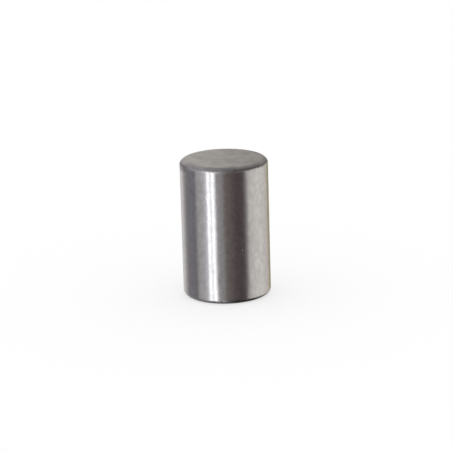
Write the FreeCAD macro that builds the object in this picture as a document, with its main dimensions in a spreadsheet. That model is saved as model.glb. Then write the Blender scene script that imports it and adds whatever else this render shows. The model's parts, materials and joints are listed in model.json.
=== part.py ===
import FreeCAD, Part
import os
import Sketcher

# Fixing pin: a short solid dowel of hardened steel, turned from bar and ground on its outside.
# Both ends carry the same 45 degree chamfer, whose corners were rolled in tumbling, so the pin
# is the same either way up, and it stands on either end face.
#
#        _________    end face
#       /         \   face corner, chamfer (chamfer_leg each way), barrel corner
#      |           |
#      |  barrel   |
#      |           |  pin_length from end face to end face
#       \_________/
#         diameter
#
# Frame: millimetres, +Z along the pin's axis, origin at the centre of the lower end face.

SIZES = {
    "diameter": (10.0, "outside diameter of the ground barrel"),
    "pin_length": (15.8, "overall length, end face to end face"),
    "chamfer_leg": (0.4, "leg of the 45 degree chamfer, the same at both ends"),
    "barrel_corner": (0.5, "radius that rolls each chamfer into the barrel"),
    "face_corner": (0.6, "radius that rolls each chamfer into its end face"),
}

PARTS_FOLDER = "parts"
SAME_SIZE = 1e-4  # mm, how near the finished pin comes to its stated size
FULL_TURN = 360  # degrees

# Edges of the half section, in order from the origin out, up the barrel and back to the axis.
LOWER_FACE, LOWER_CHAMFER, BARREL, UPPER_CHAMFER, UPPER_FACE, AXIS = range(6)

# How a sketch constraint names an edge's two ends, and the sketch's own origin.
START, END = 1, 2
ORIGIN = (-1, 1)


def make_sheet(doc):
    """The spreadsheet of driving dimensions, one row each: name, value, meaning."""
    sheet = doc.addObject("Spreadsheet::Sheet", "sizes")
    for row, (name, (value, meaning)) in enumerate(SIZES.items(), start=1):
        sheet.set(f"A{row}", name)
        sheet.set(f"B{row}", str(value))
        sheet.setAlias(f"B{row}", name)
        sheet.set(f"C{row}", meaning)
    doc.recompute()
    return sheet


def origin_plane(body, role):
    """The body's own origin plane with this role, such as XZ_Plane."""
    return next(plane for plane in body.Origin.OriginFeatures if plane.Role == role)


def drive(sketch, name, expression, kind, *where):
    """Add a named dimension to the sketch and let the sheet drive it."""
    value = float(sketch.evalExpression(expression))
    number = sketch.addConstraint(Sketcher.Constraint(kind, *where, value))
    sketch.renameConstraint(number, name)
    sketch.setExpression(f"Constraints.{name}", expression)


def draw_outline(section, sheet):
    """The half section with its corners still sharp, as six edges in a closed loop."""
    radius = sheet.diameter / 2
    face_radius = radius - sheet.chamfer_leg
    upper_edge = sheet.pin_length - sheet.chamfer_leg
    corners = [
        FreeCAD.Vector(0, 0),
        FreeCAD.Vector(face_radius, 0),
        FreeCAD.Vector(radius, sheet.chamfer_leg),
        FreeCAD.Vector(radius, upper_edge),
        FreeCAD.Vector(face_radius, sheet.pin_length),
        FreeCAD.Vector(0, sheet.pin_length),
    ]
    for start, end in zip(corners, corners[1:] + corners[:1]):
        section.addGeometry(Part.LineSegment(start, end), False)

    for edge in range(len(corners)):
        following = (edge + 1) % len(corners)
        section.addConstraint(Sketcher.Constraint("Coincident", edge, END, following, START))
    section.addConstraint(Sketcher.Constraint("Coincident", LOWER_FACE, START, *ORIGIN))
    for edge in (LOWER_FACE, UPPER_FACE):
        section.addConstraint(Sketcher.Constraint("Horizontal", edge))
    for edge in (BARREL, AXIS):
        section.addConstraint(Sketcher.Constraint("Vertical", edge))


def size_outline(section):
    """The outline's dimensions, all measured to its sharp corners."""
    drive(section, "barrel_radius", "sizes.diameter / 2", "DistanceX", *ORIGIN, BARREL, START)
    drive(section, "face_to_face", "sizes.pin_length", "DistanceY", AXIS, END, AXIS, START)
    leg = "sizes.chamfer_leg"
    drive(section, "lower_leg_across", leg, "DistanceX", LOWER_CHAMFER, START, LOWER_CHAMFER, END)
    drive(section, "lower_leg_along", leg, "DistanceY", LOWER_CHAMFER, START, LOWER_CHAMFER, END)
    drive(section, "upper_leg_across", leg, "DistanceX", UPPER_CHAMFER, END, UPPER_CHAMFER, START)
    drive(section, "upper_leg_along", leg, "DistanceY", UPPER_CHAMFER, START, UPPER_CHAMFER, END)


def edge_middle(section, edge):
    """The middle of a straight edge, which tells the sketch which side of a corner to keep."""
    line = section.Geometry[edge]
    return (line.StartPoint + line.EndPoint) / 2


def roll_corner(section, name, size, first, second):
    """Round the corner of two edges, keeping the sharp corner that their sizes measure to."""
    radius = float(section.evalExpression(size))
    middles = (edge_middle(section, first), edge_middle(section, second))
    trim, keep_corner = True, True
    section.fillet(first, second, *middles, radius, trim, keep_corner)
    arc = max(i for i, curve in enumerate(section.Geometry) if isinstance(curve, Part.ArcOfCircle))
    drive(section, name, size, "Radius", arc)


def make_pin(doc, sheet):
    """The pin as one body: its half section, turned about the axis."""
    body = doc.addObject("PartDesign::Body", "fixing_pin")
    body.Label = "fixing_pin"
    body.Placement = FreeCAD.Placement()

    section = body.newObject("Sketcher::SketchObject", "half_section")
    section.AttachmentSupport = [(origin_plane(body, "XZ_Plane"), "")]
    section.MapMode = "FlatFace"
    draw_outline(section, sheet)
    size_outline(section)
    roll_corner(section, "lower_face_corner", "sizes.face_corner", LOWER_FACE, LOWER_CHAMFER)
    roll_corner(section, "lower_barrel_corner", "sizes.barrel_corner", LOWER_CHAMFER, BARREL)
    roll_corner(section, "upper_barrel_corner", "sizes.barrel_corner", BARREL, UPPER_CHAMFER)
    roll_corner(section, "upper_face_corner", "sizes.face_corner", UPPER_CHAMFER, UPPER_FACE)

    turned = body.newObject("PartDesign::Revolution", "turned_pin")
    turned.Profile = section
    turned.ReferenceAxis = (section, ["V_Axis"])
    turned.Angle = FULL_TURN
    section.Visibility = False
    doc.recompute()
    return body


def check_document(doc):
    """Stop if any object failed to compute, or a sketch is still free to move."""
    for item in doc.Objects:
        if "Invalid" in item.State or "Error" in item.State:
            raise RuntimeError(f"{item.Name} failed: {item.State}")
        if item.isDerivedFrom("Sketcher::SketchObject") and not item.FullyConstrained:
            raise RuntimeError(f"{item.Name} is not fully constrained")


def check_pin(body, sheet):
    """Stop unless the pin is one valid solid of its stated size."""
    shape = body.Shape
    if shape.isNull() or not shape.isValid() or len(shape.Solids) != 1:
        raise RuntimeError(f"{body.Label} is not one valid solid")
    box = shape.optimalBoundingBox()
    stated = (sheet.diameter, sheet.diameter, sheet.pin_length)
    for measured, size in zip((box.XLength, box.YLength, box.ZLength), stated):
        if abs(measured - size) > SAME_SIZE:
            raise RuntimeError(f"{body.Label} measures {measured} mm, not {size} mm")


def main():
    doc = FreeCAD.newDocument("fixing_pin_model")
    sheet = make_sheet(doc)
    pin = make_pin(doc, sheet)
    check_document(doc)
    check_pin(pin, sheet)
    os.makedirs(PARTS_FOLDER, exist_ok=True)
    pin.Shape.exportStep(os.path.join(PARTS_FOLDER, f"{pin.Label}.step"))
    print(f"{pin.Label}: {pin.Shape.Volume:.3f} mm3, {len(pin.Shape.Faces)} faces")


main()
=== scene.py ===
import json
import math
from collections import namedtuple

import bpy
import numpy as np
from mathutils import Matrix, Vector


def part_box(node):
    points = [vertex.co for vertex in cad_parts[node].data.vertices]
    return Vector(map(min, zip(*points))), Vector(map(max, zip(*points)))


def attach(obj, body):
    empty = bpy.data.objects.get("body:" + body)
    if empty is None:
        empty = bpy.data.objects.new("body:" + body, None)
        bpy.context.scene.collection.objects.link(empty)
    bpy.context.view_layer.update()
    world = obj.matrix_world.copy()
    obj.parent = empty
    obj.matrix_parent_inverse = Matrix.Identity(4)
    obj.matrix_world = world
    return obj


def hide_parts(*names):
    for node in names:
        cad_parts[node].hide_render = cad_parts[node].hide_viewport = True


# A short steel fixing pin, standing on its end. Its barrel is ground bright, round and round,
# and its ends and chamfers were tumbled, which left them matte and rolled their corners.
# Lengths are in metres and angles in degrees, unless a name or a comment says otherwise.

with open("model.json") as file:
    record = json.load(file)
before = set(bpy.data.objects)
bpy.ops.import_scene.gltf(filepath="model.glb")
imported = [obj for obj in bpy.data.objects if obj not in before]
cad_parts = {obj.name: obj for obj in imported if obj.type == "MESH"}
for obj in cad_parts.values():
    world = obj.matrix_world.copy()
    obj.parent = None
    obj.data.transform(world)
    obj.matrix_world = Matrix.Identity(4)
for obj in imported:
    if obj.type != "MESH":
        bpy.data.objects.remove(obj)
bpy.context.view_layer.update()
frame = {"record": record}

MM = 0.001

# The pin's sizes, from the frame: its box, and the straight wall that the barrel mount states.
LOW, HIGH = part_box("fixing_pin")
BARREL_MOUNT = next(mount for mount in frame["record"]["mounts"] if mount["name"] == "barrel")
RADIUS = (HIGH.x - LOW.x) / 2
LENGTH = HIGH.z - LOW.z
WALL = BARREL_MOUNT["dims"]["length_mm"] * MM
WALL_BOTTOM = (LENGTH - WALL) / 2
WALL_TOP = (LENGTH + WALL) / 2
CHAMFER_ANGLE = 45
BARREL_CORNER = 0.5 * MM
FACE_CORNER = 0.6 * MM
CORNER_SETBACK = math.tan(math.radians(CHAMFER_ANGLE / 2))  # times an arc's radius: sharp corner to arc
CHAMFER_LEG = WALL_BOTTOM - BARREL_CORNER * CORNER_SETBACK
FACE_RADIUS = RADIUS - CHAMFER_LEG - FACE_CORNER * CORNER_SETBACK

# The mesh: steps along the wall and round the pin, and finer ones near each nick.
COARSE = 0.25 * MM
FINE = 0.03 * MM
FINE_REACH = 6  # fine steps on each side of a nick
BARREL_CORNER_STEPS = 10
CHAMFER_STEPS = 5
FACE_CORNER_STEPS = 8
FACE_RINGS = 24
FACE_INNERMOST = RADIUS / 20  # the radius of the innermost one

# Nicks in the barrel: angle round the pin (0 faces the camera, + to the right), height, size and
# depth. A negative depth is a raised spot.
Nick = namedtuple("Nick", "angle height size depth")
NICKS = (
    Nick(-25.6, 12.45 * MM, 0.17 * MM, -0.013 * MM),
    Nick(22.5, 6.3 * MM, 0.15 * MM, 0.019 * MM),
    Nick(-70.0, 4.5 * MM, 0.18 * MM, 0.012 * MM),
    Nick(-46.0, 2.0 * MM, 0.16 * MM, 0.008 * MM),
    Nick(-9.0, 6.1 * MM, 0.16 * MM, 0.008 * MM),
    Nick(45.0, 9.9 * MM, 0.16 * MM, 0.009 * MM),
    Nick(44.5, 9.1 * MM, 0.14 * MM, 0.008 * MM),
    Nick(46.0, 7.4 * MM, 0.16 * MM, 0.008 * MM),
    Nick(65.0, 7.3 * MM, 0.16 * MM, 0.009 * MM),
    Nick(33.0, 5.6 * MM, 0.15 * MM, 0.008 * MM),
    Nick(128.0, 10.6 * MM, 0.20 * MM, 0.010 * MM),
    Nick(171.0, 4.9 * MM, 0.15 * MM, 0.010 * MM),
    Nick(-141.0, 8.3 * MM, 0.17 * MM, 0.009 * MM),
)

# Small dings in the corner between the barrel and each chamfer, at random angles. Their sizes and
# depths lie between these.
RIM_DINGS = 7  # at each end
DING_FACING = 20  # they lie where the corner faces this far up or down
DING_SIZES = (0.15 * MM, 0.3 * MM)
DING_DEPTHS = (0.01 * MM, 0.025 * MM)
SEED = 11

# The chamfers were rolled unevenly: about how far their leg strays from its size, in a sum of these
# numbers of waves round the pin, each of them of random height.
CHAMFER_STRAY = 0.012 * MM
STRAY_WAVES = (2, 3, 5, 7, 11)
STRAY_SPREAD = 0.35

# The UV map that a baked finish uses: the wall is a strip along the bottom, and above it each end
# is a disc, whose radius is the distance over the surface from the face's middle.
UV_MAP = "OFBake"
UV_STRIP = 0.5
UV_LOWER_END = (0.25, 0.76)
UV_UPPER_END = (0.75, 0.76)
UV_END_REACH = 0.235

# The pin's material slots. The ground finish covers the wall, and its corners up to where they
# face this far up or down.
TUMBLED_SLOT = 0
GROUND_SLOT = 1
GROUND_FACING = 14


# ---------------------------------------------------------------- the pin's shape

# One ring of the pin: its radius and height, which way its surface faces (0 out, 90 up), and how
# far the ring moves out and up for each millimetre that the chamfer grows.
Ring = namedtuple("Ring", "radius height facing slide_out slide_up")


def steps_near(low, high, marks):
    """Places from low to high: a coarse step apart, and a fine step apart around each mark."""
    count = math.ceil((high - low) / COARSE)
    places = list(np.linspace(low, high, count + 1))
    for mark in marks:
        for step in range(-FINE_REACH, FINE_REACH + 1):
            places.append(mark + step * FINE)
    places = sorted(place for place in places if low <= place <= high)
    kept = [places[0]]
    for place in places[1:]:
        if place - kept[-1] > FINE / 2:
            kept.append(place)
    return kept


def corner_arc(radius, height, size, start, end, steps, slide):
    """Rings of a rolled corner of this size about (radius, height), from one facing to another."""
    rings = []
    for facing in np.linspace(start, end, steps + 1):
        turn = math.radians(facing)
        out, up = size * math.cos(turn), size * math.sin(turn)
        rings.append(Ring(radius + out, height + up, facing, *slide))
    return rings


def end_rings():
    """The rings of the upper end, from the top of the straight wall to the middle of the face."""
    down, inward = (0, -1), (-1, 0)
    rings = corner_arc(
        RADIUS - BARREL_CORNER, WALL_TOP, BARREL_CORNER, 0, CHAMFER_ANGLE, BARREL_CORNER_STEPS, down)
    upper = corner_arc(
        FACE_RADIUS, HIGH.z - FACE_CORNER, FACE_CORNER, CHAMFER_ANGLE, 90, FACE_CORNER_STEPS, inward)
    start, end = rings[-1], upper[0]
    for step in range(1, CHAMFER_STEPS):
        share = step / CHAMFER_STEPS
        mixed = [a + (b - a) * share for a, b in zip(start, end)]
        rings.append(Ring(*mixed))
    rings += upper
    for radius in np.geomspace(FACE_RADIUS - FINE, FACE_INNERMOST, FACE_RINGS):
        rings.append(Ring(radius, HIGH.z, 90, -radius / FACE_RADIUS, 0))
    return rings


def wall_rings():
    """The rings of the straight wall, from bottom to top, without those where the corners start."""
    marks = [nick.height for nick in NICKS] + [WALL_BOTTOM, WALL_TOP]
    heights = steps_near(WALL_BOTTOM, WALL_TOP, marks)
    return [Ring(RADIUS, height, 0, 0, 0) for height in heights[1:-1]]


def upside_down(ring):
    """The ring of the lower end that matches this ring of the upper end."""
    return ring._replace(height=LENGTH - ring.height, facing=-ring.facing, slide_up=-ring.slide_up)


def strays(random, turns):
    """A smooth random line round the pin, between about -1 and 1, at each turn in radians."""
    line = np.zeros_like(turns)
    for waves in STRAY_WAVES:
        line += random.normal(0, STRAY_SPREAD) * np.sin(waves * turns + random.uniform(0, 2 * math.pi))
    return line


def rim_dings(random, top):
    """Small dings in the corner above or below the wall, as nicks at random angles."""
    corner = BARREL_CORNER * math.sin(math.radians(DING_FACING))
    height = WALL_TOP + corner if top else WALL_BOTTOM - corner
    dings = []
    for angle in random.uniform(0, 360, RIM_DINGS):
        dings.append(Nick(angle, height, random.uniform(*DING_SIZES), random.uniform(*DING_DEPTHS)))
    return dings


def pin_points(rings, turns):
    """Where the pin's surface is, for each ring and each turn in radians: rings x turns x 3."""
    random = np.random.default_rng(SEED)
    fields = [np.array(values)[:, None] for values in zip(*rings)]
    radius, height, facing, slide_out, slide_up = fields
    lower_line, upper_line = strays(random, turns), strays(random, turns)
    stray = CHAMFER_STRAY * np.where(height > LENGTH / 2, upper_line, lower_line)
    radius = radius + slide_out * stray
    height = height + slide_up * stray
    out = np.stack([np.sin(turns), -np.cos(turns), np.zeros_like(turns)], axis=-1)
    up = np.array([0, 0, 1])
    points = radius[..., None] * out + height[..., None] * up
    tilt = np.radians(facing)[..., None]
    normals = np.cos(tilt) * out + np.sin(tilt) * up
    for nick in (*NICKS, *rim_dings(random, False), *rim_dings(random, True)):
        around = math.radians(nick.angle)
        middle = np.array([RADIUS * math.sin(around), -RADIUS * math.cos(around), nick.height])
        away = np.linalg.norm(points - middle, axis=-1) / nick.size
        depth = nick.depth * np.clip(1 - away ** 2, 0, 1) ** 2
        points = points - depth[..., None] * normals
    return points


def strip_places(rings, turns):
    """UV places on the wall's strip: rings x turns x 2, where the last turn is a full one."""
    along = np.array([ring.height for ring in rings]) - rings[0].height
    across, up = np.meshgrid(turns / (2 * math.pi), UV_STRIP * along / along[-1])
    return np.stack([across, up], axis=-1)


def disc_places(rings, turns, middle):
    """UV places on one end's disc, for rings from its rim in: rings x turns x 2."""
    line = np.array([(ring.radius, ring.height) for ring in rings] + [(0, rings[-1].height)])
    steps = np.linalg.norm(np.diff(line, axis=0), axis=1)
    reach = UV_END_REACH * np.cumsum(steps[::-1])[::-1] / steps.sum()
    circle = np.stack([np.sin(turns), np.cos(turns)], axis=-1)
    return np.array(middle) + reach[:, None, None] * circle


def pin_faces(rings, end_count, turns):
    """The pin's faces, their material slots, and their corners' UV places.

    The first and the last end_count rings are the lower and the upper end's. The points of all the
    rings come first, ring by ring, and then the middle of the lower and of the upper face.
    """
    column_count = len(turns) - 1
    top_start = len(rings) - end_count
    lower_disc = disc_places(rings[top_start:], turns, UV_LOWER_END)[::-1]
    upper_disc = disc_places(rings[top_start:], turns, UV_UPPER_END)
    strip = strip_places(rings[end_count - 1:top_start + 1], turns)
    faces, slots, places = [], [], []
    for start, chart in ((0, lower_disc), (end_count - 1, strip), (top_start, upper_disc)):
        for row in range(len(chart) - 1):
            sides = rings[start + row:start + row + 2]
            ground = all(abs(ring.facing) <= GROUND_FACING for ring in sides)
            below = (start + row) * column_count
            above = below + column_count
            for column in range(column_count):
                following = (column + 1) % column_count
                faces.append((below + column, below + following, above + following, above + column))
                slots.append(GROUND_SLOT if ground else TUMBLED_SLOT)
                places += [chart[row, column], chart[row, column + 1]]
                places += [chart[row + 1, column + 1], chart[row + 1, column]]

    lower_middle = len(rings) * column_count
    upper_middle = lower_middle + 1
    top = lower_middle - column_count
    for column in range(column_count):
        following = (column + 1) % column_count
        faces.append((following, column, lower_middle))
        places += [lower_disc[0, column + 1], lower_disc[0, column], UV_LOWER_END]
        faces.append((top + column, top + following, upper_middle))
        places += [upper_disc[-1, column], upper_disc[-1, column + 1], UV_UPPER_END]
        slots += [TUMBLED_SLOT, TUMBLED_SLOT]
    return faces, slots, places


def make_pin():
    """The pin as one closed mesh: a grid of rings and turns, closed at the middle of each face."""
    upper = end_rings()
    rings = [upside_down(ring) for ring in reversed(upper)] + wall_rings() + upper
    nick_places = [math.radians(nick.angle % 360) * RADIUS for nick in NICKS]
    turns = np.array(steps_near(0, 2 * math.pi * RADIUS, nick_places)) / RADIUS
    points = pin_points(rings, turns[:-1]).reshape(-1, 3)
    points = np.vstack([points, (0, 0, LOW.z), (0, 0, HIGH.z)])
    faces, slots, places = pin_faces(rings, len(upper), turns)

    mesh = bpy.data.meshes.new("pin")
    mesh.from_pydata(points.tolist(), [], faces)
    mesh.materials.append(tumbled_steel())
    mesh.materials.append(ground_steel())
    mesh.polygons.foreach_set("material_index", np.array(slots, np.int32))
    mesh.polygons.foreach_set("use_smooth", np.ones(len(faces), bool))
    mesh.uv_layers.new(name=UV_MAP).uv.foreach_set("vector", np.array(places, np.float32).ravel())
    mesh.update()
    pin = bpy.data.objects.new("pin", mesh)
    bpy.context.scene.collection.objects.link(pin)
    return pin


# ---------------------------------------------------------------- materials

# Noise patterns: how many features each metre has along x, y and z, how many finer layers are
# added to them, and how strong those are.
Pattern = namedtuple("Pattern", "scales detail roughness")
WAVES = Pattern((550, 550, 420), 1.0, 0.55)
RIPPLES = Pattern((900, 900, 1000), 2.0, 0.55)
MARKS = Pattern((250, 250, 9000), 4.0, 0.7)
BRIGHT_CLOUDS = Pattern((1800, 1800, 1500), 4.0, 0.8)
MATTE_CLOUDS = Pattern((700, 700, 700), 6.0, 0.62)
GRAIN = Pattern((7000, 7000, 7000), 3.0, 0.6)
RAGGED = Pattern((2800, 2800, 1000), 3.0, 0.55)
NOISE_SPAN = (0.3, 0.7)  # nearly all of a noise's values lie in this span
CLOUD_SPAN = (0.25, 0.75)  # a wider one, which makes the matte clouds softer

# How high the relief of these patterns is.
WAVE_HEIGHT = 0.0115 * MM
RIPPLE_HEIGHT = 0.003 * MM
MARK_HEIGHT = 0.0003 * MM
GRAIN_HEIGHT = 0.004 * MM

# Colours, and the spans of roughness of the two finishes.
BRIGHT_DARK = (0.54, 0.525, 0.51, 1)
BRIGHT_LIGHT = (0.68, 0.665, 0.65, 1)
ROLLED = (0.6, 0.585, 0.57, 1)
MATTE = (0.393, 0.378, 0.380)
MATTE_MOTTLE = 0.18  # how much lighter and darker its clouds are
GROUND_ROUGHNESS = (0.29, 0.35)
GROUND_ROUGHER = 0.13  # how much rougher the barrel is where the tumbled finish still covers it
TUMBLED_ROUGHNESS = (0.55, 0.65)
ROLLED_SMOOTHER = 0.3  # how much smoother the corner is below the tumbled finish
BLUR_ONE_WAY = 1.0  # how much the marks blur what the barrel mirrors across them only
BLUR_TURN = 0.25  # a quarter turn, from the marks' direction to across them

# The tumbled finish ends raggedly between these depths below an end face, times a share that
# depends on the place. At the upper end it goes deepest at the left, and least deep between there
# and the right. The spans say where one share turns into the next, along X or along Z.
FINISH_START = 0.335 * MM
FINISH_END = 0.655 * MM
FINISH_RAGGED = 0.3 * MM  # how far its end strays, from shallowest to deepest
FINISH_LEFT = 1.85
FINISH_BETWEEN = 0.77
FINISH_RIGHT = 0.92
FINISH_LOWER = 0.75
FROM_BETWEEN_TO_LEFT = (-0.75 * RADIUS, -0.93 * RADIUS)
FROM_BETWEEN_TO_RIGHT = (-0.3 * RADIUS, 0.1 * RADIUS)
FROM_LOWER_TO_UPPER = (0.45 * LENGTH, 0.55 * LENGTH)

# Painted shade: before it ends, the tumbled finish's colour is darkened by this share, most at the
# middle one of these depths below an end face. Near EDGE_CLEAR_X, where the barrel's highlight lies, it
# isn't: along X the painted shade starts at the first of these distances from there, and is full at the
# second.
EDGE_PAINTED_SHADE = 0.46
EDGE_START = 0.12 * MM
EDGE_MIDDLE = 0.34 * MM
EDGE_END = 0.46 * MM
EDGE_CLEAR_X = -0.3 * RADIUS
EDGE_CLEAR_DISTANCES = (0.4 * RADIUS, 0.6 * RADIUS)

# Painted light and shade: shares by which the ends are painted lighter at -X and darker at +X, and
# painted darker at their rim in front.
FACE_PAINTED_LIGHT = 0.14
FROM_RIGHT_TO_LEFT = (0.8 * RADIUS, -RADIUS)
FACE_RIM_PAINTED_SHADE = 0.17
FROM_MIDDLE_TO_FRONT = (-0.2 * RADIUS, -0.9 * RADIUS)
FROM_FACE_TO_RIM = (FACE_RADIUS - 0.5 * MM, FACE_RADIUS + 0.2 * MM)


class Nodes:
    """Adds nodes to one node tree: inputs may be values or other nodes' outputs."""

    def __init__(self, owner):
        owner.use_nodes = True
        self.tree = owner.node_tree
        self.tree.nodes.clear()

    def add(self, kind, inputs=(), **settings):
        """A new node, with its settings made and its inputs set or linked."""
        node = self.tree.nodes.new("ShaderNode" + kind)
        for name, value in settings.items():
            setattr(node, name, value)
        for socket, value in dict(inputs).items():
            if isinstance(value, bpy.types.NodeSocket):
                self.tree.links.new(value, node.inputs[socket])
            else:
                node.inputs[socket].default_value = value
        return node

    def math(self, operation, *values):
        """One step of arithmetic on numbers."""
        return self.add("Math", enumerate(values), operation=operation).outputs[0]

    def between(self, value, start, end, low=0.0, high=1.0):
        """value from start to end, turned smoothly into low to high."""
        return self.add("MapRange", {
            "Value": value, "From Min": start, "From Max": end,
            "To Min": low, "To Max": high}, interpolation_type="SMOOTHSTEP").outputs[0]

    def mix(self, share, first, second):
        """The first colour at share 0, and the second at share 1."""
        # Sockets 0, 6 and 7 are a colour mix's factor and its two colours, and output 2 its result.
        return self.add("Mix", {0: share, 6: first, 7: second}, data_type="RGBA").outputs[2]

    def shaded(self, colour, share):
        """The colour times a number."""
        return self.add("VectorMath", {0: colour, "Scale": share}, operation="SCALE").outputs[0]

    def scaled(self, vector, scales):
        """The vector with each axis times its own number."""
        return self.add("VectorMath", {0: vector, 1: scales}, operation="MULTIPLY").outputs[0]

    def noise(self, place, pattern):
        """A noise pattern at a place: about 0.5 on average."""
        return self.add("TexNoise", {
            "Vector": self.scaled(place, pattern.scales), "Scale": 1.0,
            "Detail": pattern.detail, "Roughness": pattern.roughness}).outputs[0]

    def bump(self, relief, height, under=None):
        """The normal of a relief of this height, on top of the normal that is under it."""
        inputs = {"Height": relief, "Strength": 1.0, "Distance": height}
        if under is not None:
            inputs["Normal"] = under
        return self.add("Bump", inputs).outputs[0]


def end_depth(n, axes):
    """How deep below the nearer end face a place is."""
    from_middle = n.math("ABSOLUTE", n.math("SUBTRACT", axes["Z"], LENGTH / 2))
    return n.math("SUBTRACT", LENGTH / 2, from_middle)


def edge_painted_shade(n, axes):
    """The share that is left of the tumbled finish's colour, under the painted shade before its end."""
    depth = end_depth(n, axes)
    above = n.between(depth, EDGE_START, EDGE_MIDDLE)
    below = n.between(depth, EDGE_END, EDGE_MIDDLE)
    beside = n.math("ABSOLUTE", n.math("SUBTRACT", axes["X"], EDGE_CLEAR_X))
    darker = n.between(beside, *EDGE_CLEAR_DISTANCES, 0, EDGE_PAINTED_SHADE)
    # painted shade: a dark band above the finish's end, except where the highlight lies
    return n.math("SUBTRACT", 1.0, n.math("MULTIPLY", n.math("MULTIPLY", above, below), darker))


def below_finish(n, place, axes):
    """0 where the tumbled finish is, near the ends, and 1 where it has ended."""
    ragged = n.math("SUBTRACT", n.noise(place, RAGGED), 0.5)
    depth = n.math("ADD", end_depth(n, axes), n.math("MULTIPLY", ragged, FINISH_RAGGED))
    right = n.between(axes["X"], *FROM_BETWEEN_TO_RIGHT, FINISH_BETWEEN, FINISH_RIGHT)
    upper = n.between(axes["X"], *FROM_BETWEEN_TO_LEFT, right, FINISH_LEFT)
    reach = n.between(axes["Z"], *FROM_LOWER_TO_UPPER, FINISH_LOWER, upper)
    return n.between(n.math("DIVIDE", depth, reach), FINISH_START, FINISH_END)


def ground_steel():
    """Bright ground steel: fine marks round the barrel blur what it mirrors up and down only."""
    material = bpy.data.materials.new("ground_steel")
    n = Nodes(material)
    place = n.add("TexCoord").outputs["Object"]
    axes = n.add("SeparateXYZ", {0: place}).outputs
    waves = n.noise(place, WAVES)
    ripples = n.noise(place, RIPPLES)
    marks = n.noise(place, MARKS)
    clouds = n.noise(place, BRIGHT_CLOUDS)
    bright = n.mix(n.between(clouds, *NOISE_SPAN), BRIGHT_DARK, BRIGHT_LIGHT)
    bare = below_finish(n, place, axes)
    # the matte colour carries the painted shade near the tumbled finish's end
    colour = n.mix(bare, n.shaded(MATTE, edge_painted_shade(n, axes)), bright)
    rougher = n.math("MULTIPLY", n.math("SUBTRACT", 1.0, bare), GROUND_ROUGHER)
    roughness = n.math("ADD", n.between(marks, *NOISE_SPAN, *GROUND_ROUGHNESS), rougher)
    normal = n.bump(waves, WAVE_HEIGHT)
    normal = n.bump(ripples, RIPPLE_HEIGHT, under=normal)
    normal = n.bump(marks, MARK_HEIGHT, under=normal)
    tangent = n.add("Tangent", direction_type="RADIAL", axis="Z").outputs[0]
    shader = n.add("BsdfPrincipled", {
        "Base Color": colour, "Metallic": 1.0, "Roughness": roughness, "Normal": normal,
        "Anisotropic": BLUR_ONE_WAY, "Anisotropic Rotation": BLUR_TURN, "Tangent": tangent})
    n.add("OutputMaterial", {"Surface": shader.outputs[0]})
    return material


def tumbled_steel():
    """Matte tumbled steel, mottled and finely pitted, and smoother where its finish has ended. Its
    colour carries painted light and shade: lighter at -X, darker at +X and at the rim in front, and
    darker near the finish's end.
    """
    material = bpy.data.materials.new("tumbled_steel")
    n = Nodes(material)
    place = n.add("TexCoord").outputs["Object"]
    axes = n.add("SeparateXYZ", {0: place}).outputs
    clouds = n.noise(place, MATTE_CLOUDS)
    grain = n.noise(place, GRAIN)
    dark = [part * (1 - MATTE_MOTTLE) for part in MATTE] + [1]
    light = [part * (1 + MATTE_MOTTLE) for part in MATTE] + [1]
    mottled = n.mix(n.between(clouds, *CLOUD_SPAN), dark, light)
    # painted light at -X and painted shade at +X on the ends
    paler = n.between(axes["X"], *FROM_RIGHT_TO_LEFT, 1 - FACE_PAINTED_LIGHT, 1 + FACE_PAINTED_LIGHT)
    # painted shade at the ends' rim in front, used by the next lines
    front = n.between(axes["Y"], *FROM_MIDDLE_TO_FRONT, 1, 1 - FACE_RIM_PAINTED_SHADE)
    flat = n.scaled(place, (1, 1, 0))
    from_axis = n.add("VectorMath", {0: flat}, operation="LENGTH").outputs["Value"]
    rim_painted_shade = n.between(from_axis, *FROM_FACE_TO_RIM, 1, front)
    # the painted light and shade of the ends and of the finish's end, which scale the mottled colour
    shade = n.math("MULTIPLY", n.math("MULTIPLY", paler, rim_painted_shade), edge_painted_shade(n, axes))
    rolled = below_finish(n, place, axes)
    colour = n.mix(rolled, n.shaded(mottled, shade), ROLLED)
    smoother = n.math("MULTIPLY", rolled, ROLLED_SMOOTHER)
    roughness = n.math("SUBTRACT", n.between(grain, *NOISE_SPAN, *TUMBLED_ROUGHNESS), smoother)
    normal = n.bump(grain, GRAIN_HEIGHT)
    shader = n.add("BsdfPrincipled", {
        "Base Color": colour, "Metallic": 1.0, "Roughness": roughness, "Normal": normal})
    n.add("OutputMaterial", {"Surface": shader.outputs[0]})
    return material


# ---------------------------------------------------------------- studio

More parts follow.
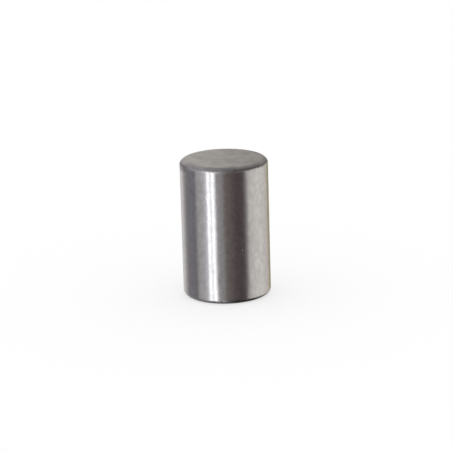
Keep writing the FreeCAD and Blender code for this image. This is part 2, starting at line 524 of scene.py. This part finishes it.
# What the steel mirrors. Each panel is a soft-edged patch of light that adds to the room's own:
# the azimuth of its middle (0 behind the camera, + to the right), its width, how soft its sides
# are, its lowest and highest elevation, and its colour.
Panel = namedtuple("Panel", "azimuth width edge low high colour")
PANELS = {
    "paper_left": Panel(-158.5, 56.4, 35.3, -90, 50, (0.704, 0.717, 0.716)),
    "paper_right": Panel(165.8, 49.3, 10.7, -90, 47, (0.274, 0.270, 0.150)),
    "left_wall": Panel(-102.0, 34.3, 3.4, -90, 60, (0.081, 0.105, 0.134)),
    "window_wall": Panel(-62.3, 38.9, 1.9, -90, 60, (0.428, 0.449, 0.465)),
    "window_glow": Panel(-44.9, 24.4, 16.4, -90, 60, (0.275, 0.276, 0.340)),
    "left_pane": Panel(-42.9, 7.2, 1.4, -90, 60, (1.81, 1.88, 1.91)),
    "right_pane": Panel(-31.4, 6.2, 0.8, -90, 60, (2.42, 2.48, 2.56)),
    "window_frame": Panel(-25.1, 42.3, 11.9, -90, 47, (0.209, 0.224, 0.246)),
    "front": Panel(1.1, 35.7, 32.0, -90, 47, (0.101, 0.097, 0.084)),
    "right_wall": Panel(101.0, 84.2, 8.9, -90, 33, (0.627, 0.613, 0.581)),
    "right_glow": Panel(88.9, 45.4, 55.0, -90, 33, (0.253, 0.279, 0.288)),
    "left_shelf": Panel(-112, 40, 20, 20, 45, (0.51, 0.51, 0.51)),
    "right_shelf": Panel(140, 50, 25, 25, 90, (0.64, 0.64, 0.64)),
    "ceiling_left": Panel(-90, 140, 60, 30, 90, (0.32, 0.32, 0.32)),
    "ceiling": Panel(180, 360, 0.1, 68, 90, (0.42, 0.42, 0.42)),
}
ROOM = (0.113, 0.088, 0.094)
SOFT_LIFT = 20  # how soft the panels' lower and upper edges are

# Low down the room fades between these elevations, to one share of its light on the left and to
# another on the right. The span says where one turns into the other, along a direction's X.
GROUND_ELEVATIONS = (-50, -30)
GROUND_LEFT = 0.85
GROUND_RIGHT = 0
GROUND_FROM_RIGHT_TO_LEFT = (0.2, -0.4)

FLOOR_REACH = 0.6
FLOOR_GLOW = 0.6  # the share of the white that the camera sees even in the pin's shadow

# Camera: a long lens that looks a little down on the pin.
CAMERA_DISTANCE = 0.25
CAMERA_LIFT = 15.8
CAMERA_ROLL = 1.66
CAMERA_CLIP = (0.01, 10)
LENS_MM = 175.2
SENSOR_MM = 36.0
AIM_RIGHT = 0.056 * MM
AIM_DOWN = 0.058 * MM


def radians(*angles):
    """The angles, in radians."""
    return [math.radians(angle) for angle in angles]


def panel_light(n, azimuth, elevation, panel):
    """The light of one panel in a direction."""
    aside = n.math("SUBTRACT", azimuth, math.radians(panel.azimuth))
    offset = n.math("ABSOLUTE", n.math("WRAP", aside, math.pi, -math.pi))
    outer, inner = radians((panel.width + panel.edge) / 2, (panel.width - panel.edge) / 2)
    share = n.between(offset, outer, inner)
    soft = SOFT_LIFT / 2
    if panel.high < 90:
        top = n.between(elevation, *radians(panel.high + soft, panel.high - soft))
        share = n.math("MULTIPLY", share, top)
    if panel.low > -90:
        bottom = n.between(elevation, *radians(panel.low - soft, panel.low + soft))
        share = n.math("MULTIPLY", share, bottom)
    return n.shaded(panel.colour, share)


def make_world():
    """White for the camera and for diffuse light, and the room of panels for what steel mirrors."""
    world = bpy.data.worlds.new("studio")
    bpy.context.scene.world = world
    n = Nodes(world)
    direction = n.add("SeparateXYZ", {0: n.add("TexCoord").outputs["Generated"]}).outputs
    azimuth = n.math("ARCTAN2", direction["X"], n.math("MULTIPLY", direction["Y"], -1.0))
    elevation = n.math("ARCSINE", direction["Z"])
    light = ROOM
    for panel in PANELS.values():
        added = panel_light(n, azimuth, elevation, panel)
        light = n.add("VectorMath", {0: light, 1: added}, operation="ADD").outputs[0]
    darkest = n.between(direction["X"], *GROUND_FROM_RIGHT_TO_LEFT, GROUND_RIGHT, GROUND_LEFT)
    ground = n.between(elevation, *radians(*GROUND_ELEVATIONS), darkest, 1.0)
    studio = n.add("Background", {"Color": n.shaded(light, ground)}).outputs[0]
    white = n.add("Background", {"Color": (1, 1, 1, 1)}).outputs[0]
    mirrored = n.add("LightPath").outputs["Is Glossy Ray"]
    shown = n.add("MixShader", {0: mirrored, 1: white, 2: studio})
    n.add("OutputWorld", {"Surface": shown.outputs[0]})


def make_floor():
    """White paper. It catches the pin's shadow, and the steel mirrors the studio in its place."""
    mesh = bpy.data.meshes.new("floor")
    far = FLOOR_REACH
    corners = [(-far, -far, 0), (far, -far, 0), (far, far, 0), (-far, far, 0)]
    mesh.from_pydata(corners, [], [(0, 1, 2, 3)])
    floor = bpy.data.objects.new("floor", mesh)
    bpy.context.scene.collection.objects.link(floor)
    material = bpy.data.materials.new("paper")
    n = Nodes(material)
    paper = n.add("BsdfDiffuse", {"Color": (1, 1, 1, 1)}).outputs[0]
    white = n.add("Emission", {"Color": (1, 1, 1, 1), "Strength": 1.0}).outputs[0]
    seen = n.math("MULTIPLY", n.add("LightPath").outputs["Is Camera Ray"], FLOOR_GLOW)
    shader = n.add("MixShader", {0: seen, 1: paper, 2: white})
    n.add("OutputMaterial", {"Surface": shader.outputs[0]})
    mesh.materials.append(material)
    floor.visible_glossy = False


def make_camera():
    """The camera: turned to look at the middle of the pin, and then moved straight back."""
    data = bpy.data.cameras.new("camera")
    data.lens = LENS_MM
    data.sensor_width = SENSOR_MM
    data.clip_start, data.clip_end = CAMERA_CLIP
    camera = bpy.data.objects.new("camera", data)
    bpy.context.scene.collection.objects.link(camera)
    bpy.context.scene.camera = camera
    tilt = Matrix.Rotation(math.radians(90 - CAMERA_LIFT), 4, "X")
    roll = Matrix.Rotation(-math.radians(CAMERA_ROLL), 4, "Z")
    aim = Matrix.Translation((AIM_RIGHT, 0, LENGTH / 2 - AIM_DOWN))
    back = Matrix.Translation((0, 0, CAMERA_DISTANCE))
    camera.matrix_world = aim @ tilt @ roll @ back


pin = make_pin()
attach(pin, "root")
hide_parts("fixing_pin")
make_world()
make_floor()
make_camera()
bpy.context.scene.view_settings.view_transform = "Standard"
